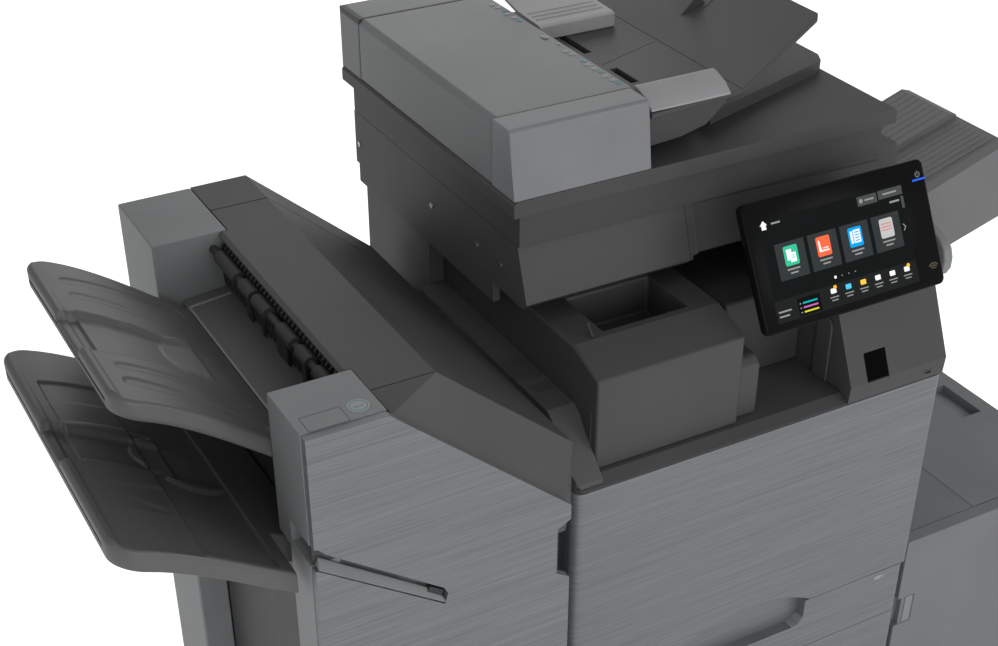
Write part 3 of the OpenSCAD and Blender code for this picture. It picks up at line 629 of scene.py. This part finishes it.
def box(u0, v0, u1, v1):
    return np.array([(u0, v0), (u1, v0), (u1, v1), (u0, v1)], float)


# outlines at rising depths joined into one closed shell; place turns (u, v, w) into a point
def loft(name, loops, place, body, slotName, angle=40):
    n = len(loops[0][0])
    pts = np.concatenate([place(o[:, 0], o[:, 1], np.full(n, float(w))) for o, w in loops])
    rings = [np.arange(n) + k * n for k in range(len(loops))]
    faces = np.concatenate([ringFaces(rings[k], rings[k + 1]) for k in range(len(loops) - 1)]).tolist()
    return meshPiece(name, pts, faces + [rings[0].tolist(), rings[-1].tolist()], body, slotName, angle)


# printed or lit shapes: thin plates whose colours are kept on their corners
def inkSheet(name, shapes, place, body, slotName, material, thick=0.12):
    points, faces, tint, first = [], [], [], 0
    for k, (outline, colour) in enumerate(shapes):
        o = np.asarray(outline, float)
        n = len(o)
        for lift in (0.04 + 0.012 * k, 0.04 + 0.012 * k + thick):
            points.append(place(o[:, 0], o[:, 1], np.full(n, -lift)))
        low, high = np.arange(n) + first, np.arange(n) + first + n
        these = [high.tolist(), low[::-1].tolist()] + ringFaces(low, high).tolist()
        faces += these
        tint += [colour] * sum(len(f) for f in these)
        first += 2 * n
    mesh = bpy.data.meshes.new(name)
    mesh.from_pydata(toRow(np.concatenate(points)).tolist(), [], faces)
    ink = mesh.color_attributes.new("ink", "FLOAT_COLOR", "CORNER")
    solid = np.concatenate([np.array(tint, np.float32), np.ones((len(tint), 1), np.float32)], 1)
    ink.data.foreach_set("color", solid.ravel())
    work = bmesh.new()
    work.from_mesh(mesh)
    bmesh.ops.recalc_face_normals(work, faces=work.faces)
    work.to_mesh(mesh)
    work.free()
    piece = putInScene(name, mesh, body, slotName)
    mesh.materials.clear()
    mesh.materials.append(material)
    return piece


# colour read from the corners, a little uneven, with part of it given off as light
def inkMaterial(name, glow, rough):
    mat = bpy.data.materials.new(name)
    mat.use_nodes = True
    tree = mat.node_tree
    b = tree.nodes["Principled BSDF"]
    ink = tree.nodes.new("ShaderNodeVertexColor")
    ink.layer_name = "ink"
    where = tree.nodes.new("ShaderNodeTexCoord").outputs["Object"]
    g = useGroup(tree, grainGroup, where, Grain=1500.0)
    mix = tree.nodes.new("ShaderNodeMix")
    mix.data_type, mix.blend_type = "RGBA", "MULTIPLY"
    mix.inputs["Factor"].default_value = 1.0
    tree.links.new(ink.outputs["Color"], mix.inputs["A"])
    tree.links.new(rampNode(tree, g.outputs["Tone"], (0.9, 0.9, 0.9), (1, 1, 1)), mix.inputs["B"])
    tree.links.new(mix.outputs["Result"], b.inputs["Base Color"])
    tree.links.new(mix.outputs["Result"], b.inputs["Emission Color"])
    b.inputs["Emission Strength"].default_value = glow
    b.inputs["Roughness"].default_value = rough
    b.inputs["Specular IOR Level"].default_value = 0.03
    return mat


litInk, plainInk = inkMaterial("litInk", 0.85, 0.5), inkMaterial("plainInk", 0.0, 0.5)

# ---- touch panel

panelPlan = dict(left=279.0, bottom=(-1.2, 152.2), lean=math.radians(28.8), wide=295.6, high=169.6, corner=9.0)


def onPanel(u, v, w):
    s, c = math.sin(panelPlan["lean"]), math.cos(panelPlan["lean"])
    y0, z0 = panelPlan["bottom"]
    return np.stack([panelPlan["left"] + u, y0 + s * v + c * w, z0 + c * v - s * w], -1)


def panelOutline(inset):
    p = panelPlan
    return roundedOutline(inset, inset, p["wide"] - inset, p["high"] - inset, p["corner"] - 0.6 * inset, 9)


frameSection = [(3.4, 0.5), (1.6, 0.9), (0.5, 2.0), (0.0, 4.0), (0.0, 11.5), (0.9, 13.8), (2.6, 15.0)]
frameLoops = [(panelOutline(i), w) for i, w in frameSection]
panelFrame = loft("panelFrame", frameLoops, onPanel, "panel", "screen_glass")
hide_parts("panel_housing")
glassLoops = [(panelOutline(3.2), 1.8), (panelOutline(3.2), 0.3), (panelOutline(3.8), 0.0)]
panelGlass = loft("panelGlass", glassLoops, onPanel, "panel", "screen_glass")
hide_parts("panel_screen")
axisY, axisZ = onPanel(np.array([0.0]), np.array([84.8]), np.array([34.0]))[0, 1:]
lean = panelPlan["lean"]
backIn, backUp = np.array([math.cos(lean), -math.sin(lean)]), np.array([math.sin(lean), math.cos(lean)])
hub = np.array([axisY, axisZ])
lugEnd = [hub + 9 * np.stack([np.cos(a), np.sin(a)]) for a in np.linspace(1.1, -2.1, 12)]
lug = [hub - backIn * 21 + backUp * 12, *lugEnd, hub - backIn * 21 - backUp * 12]
for k, x in enumerate((445, 510)):
    prism("panelLug%d" % (k + 1), lug, 0, x, x + 9, "panel", "screen_glass", 0.8)

white, pale, dim = (0.62, 0.62, 0.62), (0.2, 0.2, 0.2), (0.045, 0.05, 0.05)
shown = [(box(20.5, 12, 252.5, 144), (0.004, 0.005, 0.005)), (box(20.5, 12, 252.5, 41), (0.009, 0.010, 0.010)),
         (box(178, 129, 210, 141.5), dim), (box(212.5, 130.5, 252.5, 142), dim), (disc(184, 135.3, 3), pale),
         (box(190, 134.2, 205, 136.4), pale), (box(220, 135.2, 243, 137.4), pale), (box(229, 122.5, 245, 125), pale),
         (np.array([(22.5, 138), (28.3, 144), (34, 138), (31.8, 138), (31.8, 132.5), (24.8, 132.5), (24.8, 138)]),
          white),
         (box(40, 137, 54, 139.2), pale),
         (np.array([(243, 92), (244.6, 92), (248, 87.5), (244.6, 83), (243, 83), (246.4, 87.5)]), pale),
         (box(248, 112, 252.5, 128), dim), (box(55, 13.5, 91, 36.5), (0.003, 0.003, 0.003)),
         (box(24, 25, 44, 27), pale), (box(24, 19, 40, 21), pale)]
tileHues = [(0.03, 0.36, 0.21), (0.72, 0.10, 0.04), (0.0, 0.26, 0.60), (0.36, 0.36, 0.36)]
for k, hue in enumerate(tileHues):
    u = 37.5 + 51.9 * k
    shown += [(box(u, 63.5, u + 46, 111), (0.022, 0.026, 0.026)),
              (roundedOutline(u + 12, 80, u + 34, 105.5, 2.5, 4), hue),
              (box(u + 13, 74.5, u + 33, 76.5), pale), (box(u + 17, 69.5, u + 29, 71.5), pale)]
u = 37.5
shown += [(box(u + 16, 87, u + 24, 101), white), (box(u + 21, 84, u + 30, 96), (0.7, 0.8, 0.74)),
          (box(u + 23, 92, u + 28, 93.2), tileHues[0]), (box(u + 23, 89, u + 28, 90.2), tileHues[0])]
u += 51.9
shown += [(np.array([(u + 15, 86), (u + 31, 86), (u + 31, 88), (u + 19, 88), (u + 17, 101), (u + 15, 101)]), white),
          (box(u + 21, 89.5, u + 30, 91), (0.8, 0.55, 0.5))]
u += 51.9
shown += [(box(u + 20, 85, u + 31, 102), white), (box(u + 15, 85, u + 18.5, 101), white)]
shown += [(box(u + 22, 98 - 3.6 * j, u + 29, 99.4 - 3.6 * j), tileHues[2]) for j in range(4)]
u += 51.9
shown += [(box(u + 15, 90 + 4 * j, u + 31, 91.2 + 4 * j), (0.5, 0.12, 0.10)) for j in range(3)]
shown += [(disc(120.3 + 10.9 * j, 49.6, 2.0 if j == 0 else 0.9, 16), white if j == 0 else pale) for j in range(4)]
rowHues = [white, (0.05, 0.42, 0.62), (0.7, 0.42, 0.05), white, white, white]
for k, hue in enumerate(rowHues):
    u = 113 + 24.4 * k
    shown += [(roundedOutline(u - 4.5, 30, u + 4.5, 36.5, 1, 3), hue), (box(u - 7, 24.5, u + 7, 25.9), pale),
              (box(u - 5, 20.5, u + 5, 21.9), pale)]
    if k in (0, 5):
        shown.append((disc(u + 3.4, 37.5, 2.6, 16), (0.8, 0.36, 0.02)))
for v, hue in [(29.6, (0.0, 0.36, 0.38)), (23.8, (0.42, 0.10, 0.36)), (18.0, (0.5, 0.5, 0.02))]:
    shown += [(box(62.5, v - 1, 85.5, v + 1), hue), (box(57.5, v - 0.9, 59.3, v + 0.9), pale)]
shown += [(box(271.5, 141.8, 293, 144.3), (0.02, 0.09, 0.62))]
inkSheet("displayPicture", shown, onPanel, "panel", "screen_glass", litInk)
mark = [(np.concatenate([disc(280, 20, r, 48)[6:19], disc(280, 20, r - 1.1, 48)[6:19][::-1]]), (0.20, 0.16, 0.10))
        for r in (5, 8, 11)]
inkSheet("touchMark", mark, onPanel, "panel", "screen_glass", plainInk)
brass = (0.30, 0.26, 0.20)
outside, inside = disc(282, 150, 4.0, 40), disc(282, 150, 2.9, 40)
keyRing = [(np.concatenate([outside[14:], outside[:7], inside[:7][::-1], inside[14:][::-1]]), brass),
           (box(281.5, 149.5, 282.5, 155), brass)]
inkSheet("powerMark", keyRing, lambda u, v, w: onPanel(u, v, w - 0.5), "power_button", "screen_glass", plainInk)
for piece in bpy.data.objects:
    if piece.name.startswith("power_button"):
        piece.data.materials.clear()
        piece.data.materials.append(finish["screen_glass"])
print("touch panel made")

# ---- document feeder

rearCap = [(-6.6, 344.2), (-6.6, 424.3), (0.2, 431.3), (190.4, 431.3), (190.4, 344.2)]
prism("feederRearCap", rearCap, 1, 582.8, 645.9, "feeder", "feeder_grey", 3.5, 4)


def flat(z):
    return lambda u, v, w: np.stack([u, v, z - w], -1)


marks = []
for k, y in enumerate([221, 232, 246, 262, 274, 290, 303, 330, 342, 470, 482, 499, 512, 528, 541]):
    tall = 6.5 + 2.0 * (k % 3)
    hue = (0.62, 0.64, 0.64) if k % 3 else (0.22, 0.56, 0.60)
    x = 187.5 - tall
    marks += [(box(x, y, x + 1.2, y + 6.4), hue), (box(x, y, 187.5, y + 1.2), hue),
              (box(x, y + 5.2, 187.5, y + 6.4), hue), (box(x + 3.0, y + 2.4, x + 5.6, y + 4.0), hue)]
grey, black = (0.5, 0.5, 0.5), (0.1, 0.1, 0.1)
marks += [(roundedOutline(178, 396, 186, 408, 2, 4), grey), (box(180, 399, 184, 400), black),
          (box(180, 402, 184, 403), black), (np.array([(183, 372), (187, 368), (187, 376)]), grey)]
inkSheet("sizeMarks", marks, flat(431.35), "feeder_cover", "white_pad", plainInk)


# top of the document tray: level, then rising 52 in 160
def trayZ(x):
    return 410 + 52 * np.maximum(np.asarray(x, float) - 340, 0) / 160


def trayPath(a, b, n=12):
    t = np.linspace(0, 1, n)
    x, y = a[0] + (b[0] - a[0]) * t, a[1] + (b[1] - a[1]) * t
    return np.stack([x, y, trayZ(x)], -1)


across = (0, 1, 0)
ridge("trayRidge", trayPath((228, 330), (337, 369)), across, 3.2, 0.4, "document_tray", "dark_plastic")
bend = np.stack([np.full(12, 340.6), np.linspace(176, 545, 12), np.full(12, 410.0)], -1)
ridge("trayBend", bend, (1, 0, 0), 2.6, 0.7, "document_tray", "shade_plastic")
ridge("trayCrease", trayPath((398, 372), (482, 402)), across, 2.2, 0.9, "document_tray", "dark_plastic")
for k, (a, b) in enumerate([((392, 392), (432, 396)), ((430, 470), (458, 473))]):
    p = trayPath(a, b, 2)
    fin = [(p[0, 0], p[0, 2] - 0.5), (p[1, 0], p[1, 2] - 0.5), ((a[0] + b[0]) / 2 + 6, p[1, 2] + 11)]
    prism("trayFin%d" % (k + 1), fin, 1, a[1], a[1] + 1.6, "document_tray", "shade_plastic", 0.3, 2)
for k, y in enumerate((462, 474, 486)):
    z = 432 + (y - 460) * 0.03
    rib = [(204, y, z), (262, y, z + 0.2), (308, y, z)]
    ridge("guideRib%d" % (k + 1), rib, across, 2.4, 0.8, "guide_rear", "guide_plastic")
for k, y in enumerate((178, 190)):
    z = 415 + (y - 172) * 0.62
    ridge("frontGuideRib%d" % (k + 1), [(204, y, z), (308, y, z)], across, 2.0, 0.6, "guide_front", "guide_plastic")
print("feeder details made")

# ---- finisher details

# sloping lip under the door's grip slot
lipPts = [(-366, -52, 84.2), (-219, -52, -23.3), (-211.5, -61.3, -39.3), (-370, -61.3, 73.2),
          (-366, -49, 84.2), (-219, -49, -23.3), (-211.5, -49, -39.3), (-370, -49, 73.2)]
sixSides = [(0, 1, 2, 3), (4, 7, 6, 5), (0, 4, 5, 1), (1, 5, 6, 2), (2, 6, 7, 3), (3, 7, 4, 0)]
addBevel(meshPiece("slotLip", lipPts, sixSides, "finisher_door", "grey_plastic", 30), 0.8)
liner = [(-372, 100), (-360, 91.5), (-213, -14.5), (-208, -27), (-214, -42), (-372, 68)]
prism("slotLiner", liner, 1, -48.6, -46.8, "finisher_door", "shade_plastic", 0.3)
prism("slotEnd", [(-232, -9), (-214, -21), (-217, -30), (-236, -17)], 1, -56, -47, "finisher_door", "rubber", 0.6)
# row of upright ribs behind the exit rollers: five-cornered plates 2.2 thick, 11 apart
ribSide = ((-279, 172), (-285, 176), (-287, 200), (-285, 232), (-279, 238))
ribs, faces = [], []
for k, y in enumerate(np.arange(46, 425, 11.0)):
    ribs += [(x, yy, z) for yy in (y, y + 2.2) for x, z in ribSide]
    f = 10 * k
    faces += [(f, f + 1, f + 2, f + 3, f + 4), (f + 9, f + 8, f + 7, f + 6, f + 5)]
    faces += [(f + j, f + (j + 1) % 5, f + (j + 1) % 5 + 5, f + j + 5) for j in range(5)]
meshPiece("throatRibs", ribs, faces, "engine", "shade_plastic", 30)
flap = [(-296, 222), (-287, 226), (-284, 214), (-285, 176), (-287, 168), (-290, 176), (-290, 208)]
for k, (a, b) in enumerate([(90, 106), (141, 153), (199, 231), (276, 281), (319, 332)]):
    prism("throatFlap%d" % (k + 1), flap, 1, a, b, "engine", "rubber", 1.0)
plateEdge = np.stack([np.full(24, -342.4), np.linspace(44, 402, 24), np.full(24, 165.4)], -1)
ridge("guidePlateEdge", plateEdge, (1, 0, 0), 4.0, 1.6, "engine", "grey_plastic")
plateEnd = [(-342, 402, 165.6), (-310, 402, 168.8), (-285, 402, 171.6)]
ridge("guidePlateEnd", plateEnd, across, 4.0, 1.6, "engine", "grey_plastic")
teal = (0.10, 0.34, 0.36)
outside, inside = disc(-297.6, -28.7, 10.6, 48), disc(-297.6, -28.7, 9.6, 48)
ring = [(np.concatenate([outside, outside[:1], inside[:1], inside[::-1]]), teal),
        (box(-302.5, -30.6, -292.7, -29.6), teal), (box(-302.5, -30.6, -301.5, -27.4), teal),
        (box(-293.7, -30.6, -292.7, -27.4), teal)]
inkSheet("stapleRing", ring, flat(250.9), "staple_button", "guide_plastic", plainInk)
outer = [(-364, -50), (-316, -50), (-316, -20), (-364, -20)]
inner = [(-363.4, -49.4), (-316.6, -49.4), (-316.6, -20.6), (-363.4, -20.6)]
seamLine = [(np.array([outer[k], outer[(k + 1) % 4], inner[(k + 1) % 4], inner[k]]), (0.10, 0.105, 0.108))
            for k in range(4)]
inkSheet("capSeam", seamLine, flat(250.5), "engine", "grey_plastic", plainInk)
print("finisher details made")

# ---- engine details

# the pillar's front: upright below 28, then leaning back 72 in 154; the window lies 1.2 under it
def onPillar(u, v, w):
    return np.stack([u, -2 + np.maximum(v - 28, 0) * 72 / 154 + w + 1.2, v], -1)


# an upright plane facing forward at one depth
def upright(y):
    return lambda u, v, w: np.stack([u, y + w, v], -1)


window = roundedOutline(461.3, 28, 498.2, 64.7, 1.5, 5)
inkSheet("pillarWindow", [(window, (0.001, 0.001, 0.001))], onPillar, "engine", "screen_glass", plainInk)
outside, inside = roundedOutline(563.5, 7.6, 578.5, 14.4, 1.2, 5), roundedOutline(564.4, 8.4, 577.6, 13.6, 0.8, 5)
rim = np.concatenate([outside, outside[:1], inside[:1], inside[::-1]])
inkSheet("portRim", [(rim, (0.13, 0.13, 0.135))], upright(-2), "engine", "dark_plastic", plainInk)
prism("portTongue", box(566.2, 9.2, 575.8, 12.8), 1, 1.2, 3.6, "engine", "rubber", 0.2)
bracket = [(76, 199), (48, 190), (35, 178), (30, 165), (30, 150), (36, 138), (60, 132), (118, 132), (118, 189)]
prism("panelBracket", bracket, 0, 597.5, 613, "engine", "grey_plastic", 3.0, 4)
prism("drawerSign", box(535, -352, 556, -344), 1, -0.5, 0.8, "drawer_1", "grey_plastic", 0.3)
bars = [(box(539, -350, 541, -346), grey), (box(543, -350, 547, -348.6), grey), (box(543, -347.4, 550, -346), grey)]
inkSheet("drawerSignBars", bars, upright(-0.5), "drawer_1", "white_pad", plainInk)
prism("dockLatch", box(614, -469.5, 628.5, -418.5), 1, 2.2, 3.6, "engine", "grey_plastic", 0.5)
prism("shelfPad", roundedOutline(4, 150, 41, 205, 12, 6), 2, 83.6, 85.4, "engine", "dark_plastic", 0.6)
prism("shelfHatch", roundedOutline(10, 118, 38, 138, 2, 4), 2, 83.6, 84.8, "engine", "dark_plastic", 0.4)
for k, y in enumerate(np.arange(176, 266, 11.0)):
    strip = [(650, y, 184.2), (731, y, 208.4), (812, y, 232.6)]
    ridge("trayStrip%d" % (k + 1), strip, across, 2.4, 0.5, "engine", "dark_plastic")
for k, y in enumerate(np.arange(284, 376, 13.0)):
    strip = [(642, y, 189.7), (723, y, 216), (804, y, 242.3)]
    ridge("trayStripRear%d" % (k + 1), strip, across, 2.6, 0.5, "engine", "dark_plastic")
# rounded inner wall of the space beside the pillar
arch = [(math.cos(a) * 15 + 62, math.sin(a) * 15 + 95) for a in np.linspace(0, np.pi, 13)]
prism("pillarArch", [(47, 12), (77, 12)] + arch, 0, 427.5, 431.6, "engine", "dark_plastic", 1.2)
prism("relayNiche", roundedOutline(36, 42, 52, 92, 2, 4), 0, 41.6, 43.4, "engine", "shade_plastic", 0.4)
prism("relayFinger", [(88, 166), (92, 166), (106, 180), (102, 180)], 0, 72, 76, "engine", "rubber", 0.6)
# dark joint near the right end of the scanner's left front block, 0.3 mm proud of its sloped face
blockJoint = [(144.7, 199.8), (168.6, 270.2), (171, 270.2), (147, 199.8)]
prism("blockSeam", blockJoint, 0, 257.4, 258.8, "engine", "rubber")
# long shallow line on the sloped front of the scanner: depth follows the slope, 22 in 71
lineX = np.linspace(276, 588, 14)
lineZ = 262.5 - (lineX - 276) * 0.024
frontLine = np.stack([lineX, 160 + (lineZ - 199.5) * 22 / 71, lineZ], -1)
ridge("scannerLine", frontLine, (0, 0.296, 0.955), 2.2, 0.4, "engine", "rubber")
print("engine details made")

# ---- finishes of their own, by the start of the piece name

ownFinish = {
    "right_exit_tray": plastic("rightTrayGrey", (0.165, 0.165, 0.170), 0.5),
    # exit guide plate: its own dark grey, lightened well past the shade plastic as painted fill light for the shaded
    # bay
    "exit_guide_plate": plastic("guidePlateGreyPaintedFill", (0.105, 0.105, 0.110), 0.5),
    "trayStrip": plastic("trayStripGrey", (0.135, 0.135, 0.140), 0.5),
    "feeder_front_cap": plastic("feederCapGrey", (0.200, 0.206, 0.213), 0.42, bump=0.08),
    "finisher_top_cover": plastic("topCoverDark", (0.074, 0.074, 0.077), 0.5, specular=0.4),
    "finisher_shoulder": plastic("shoulderDark", (0.074, 0.074, 0.077), 0.5, specular=0.4),
    "bay_deck": plastic("deckDark", (0.072, 0.072, 0.075), 0.5, specular=0.4),
    "scanner_housing": plastic("scannerDark", (0.062, 0.062, 0.065), 0.5, specular=0.4),
    "cabinet_body": plastic("cabinetGrey", (0.158, 0.165, 0.170), 0.46),
    "cabinet_lid": plastic("cabinetLidGrey", (0.178, 0.186, 0.191), 0.46),
}
for start, material in ownFinish.items():
    for piece in bpy.data.objects:
        if piece.name.startswith(start):
            piece.data.materials.clear()
            piece.data.materials.append(material)
print("own finishes set:", len(ownFinish))
